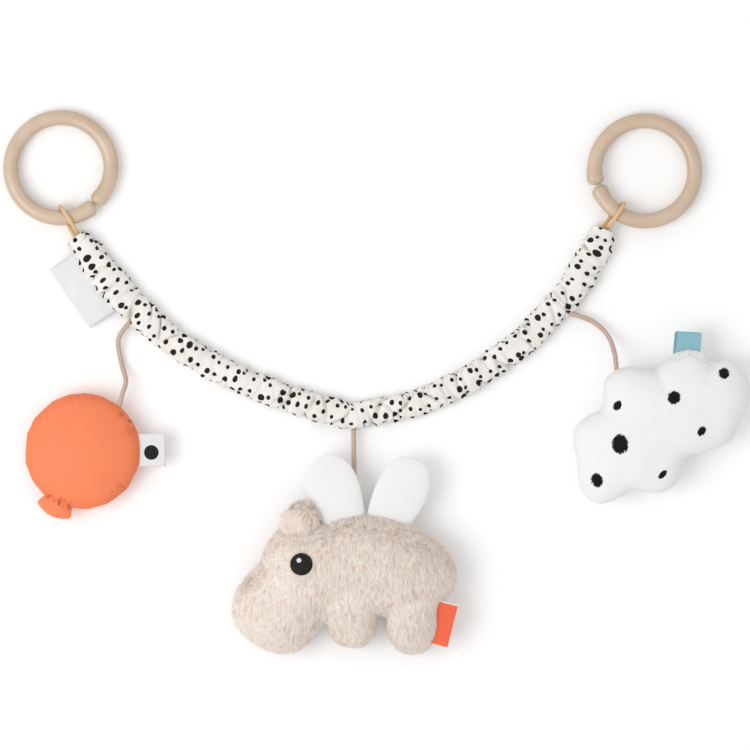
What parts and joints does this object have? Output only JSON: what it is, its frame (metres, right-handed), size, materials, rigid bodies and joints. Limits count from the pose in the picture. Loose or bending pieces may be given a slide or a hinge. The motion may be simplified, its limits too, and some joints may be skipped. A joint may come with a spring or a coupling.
{
  "type": "pram chain toy",
  "caption": "Ruched fabric chain with a split ring at each end and plush toys hanging from it on cords: a balloon, a winged hippo and a cloud.",
  "frame": {"origin": "on the table top, under the middle of the laid-out toy's outline", "axes": "+X to the right along the chain's spread, +Y up the table from the toys towards the rings, +Z away from the table"},
  "size_m": [0.4468, 0.3246, 0.0355],
  "materials": {
    "printed_cotton": "off-white woven cotton with scattered black dots, gathered",
    "white_elastic": "woven flat elastic",
    "white_satin": "smooth satin label tape, bare",
    "loop_elastic": "round golden-beige covered elastic cord",
    "ring_plastic": "matt moulded beige plastic",
    "cord": "dusty pink-beige braided cord",
    "balloon_satin": "orange satin with a soft sheen",
    "fibre": "white fibre filling",
    "white_tape": "white woven tape with one printed black spot",
    "beige_plush": "beige-pink short-pile plush",
    "white_velour": "white short velour",
    "eye_thread": "black embroidery",
    "orange_satin": "orange-red satin tag, bare",
    "cloud_plush": "white short plush with black spots",
    "teal_ribbon": "teal grosgrain ribbon"
  },
  "bodies": {
    "chain": {"sleeve": "printed_cotton", "elastic_band": "white_elastic", "sleeve_label": "white_satin"},
    "left_loop_body": {"left_loop": "loop_elastic"},
    "left_ring_body": {"left_ring": "ring_plastic"},
    "right_loop_body": {"right_loop": "loop_elastic"},
    "right_ring_body": {"right_ring": "ring_plastic"},
    "balloon_cord_body": {"balloon_cord": "cord"},
    "balloon": {"balloon_front": "balloon_satin", "balloon_back": "balloon_satin", "balloon_filling": "fibre", "balloon_neck": "balloon_satin", "balloon_tab": "white_tape"},
    "hippo_cord_body": {"hippo_cord": "cord"},
    "hippo": {"hippo_body": "beige_plush", "hippo_head": "beige_plush", "hippo_muzzle": "beige_plush", "hippo_front_leg": "beige_plush", "hippo_hind_leg": "beige_plush", "hippo_ear_near": "beige_plush", "hippo_ear_far": "beige_plush", "hippo_wing_left": "white_velour", "hippo_wing_right": "white_velour", "hippo_eye": "eye_thread", "hippo_label": "orange_satin"},
    "cloud_cord_body": {"cloud_cord": "cord"},
    "cloud": {"cloud_front": "cloud_plush", "cloud_back": "cloud_plush", "cloud_filling": "fibre", "cloud_ribbon": "teal_ribbon"}
  },
  "joints": [
    {"name": "left_loop_swing", "type": "hinge", "parent": "chain", "child": "left_loop_body", "pos_m": [-0.17812, 0.08602, 0.0049], "axis": [0, 0, 1], "range_deg": [-30, 30]},
    {"name": "left_ring_spin", "type": "hinge", "parent": "left_loop_body", "child": "left_ring_body", "pos_m": [-0.18791, 0.12759, 0.00555], "axis": [-0.0044, 0.0413, 0.9991], "range_deg": [-9, 290]},
    {"name": "right_loop_swing", "type": "hinge", "parent": "chain", "child": "right_loop_body", "pos_m": [0.13717, 0.0903, 0.0049], "axis": [0, 0, 1], "range_deg": [-30, 30]},
    {"name": "right_ring_spin", "type": "hinge", "parent": "right_loop_body", "child": "right_ring_body", "pos_m": [0.16211, 0.12574, 0.00555], "axis": [0.022, 0.0351, 0.9991], "range_deg": [-288, 12]},
    {"name": "balloon_swing", "type": "hinge", "parent": "chain", "child": "balloon_cord_body", "pos_m": [-0.1465, 0.03551, 0.0049], "axis": [0, 0, 1], "range_deg": [-20, 20]},
    {"name": "balloon_twist", "type": "hinge", "parent": "balloon_cord_body", "child": "balloon", "pos_m": [-0.15234, -0.01428, 0.0125], "axis": [-0.239, -0.971, 0], "range_deg": [-90, 90]},
    {"name": "hippo_swing", "type": "hinge", "parent": "chain", "child": "hippo_cord_body", "pos_m": [-0.01256, -0.02808, 0.0049], "axis": [0, 0, 1], "range_deg": [-20, 20]},
    {"name": "hippo_twist", "type": "hinge", "parent": "hippo_cord_body", "child": "hippo", "pos_m": [-0.01141, -0.08473, 0.01115], "axis": [0.0203, -0.9938, 0.1096], "range_deg": [-90, 90]},
    {"name": "cloud_swing", "type": "hinge", "parent": "chain", "child": "cloud_cord_body", "pos_m": [0.11635, 0.04079, 0.0049], "axis": [0, 0, 1], "range_deg": [-20, 20]},
    {"name": "cloud_twist", "type": "hinge", "parent": "cloud_cord_body", "child": "cloud", "pos_m": [0.14497, 0.00588, 0.0165], "axis": [0.1042, -0.9946, 0], "range_deg": [-90, 90]}
  ]
}
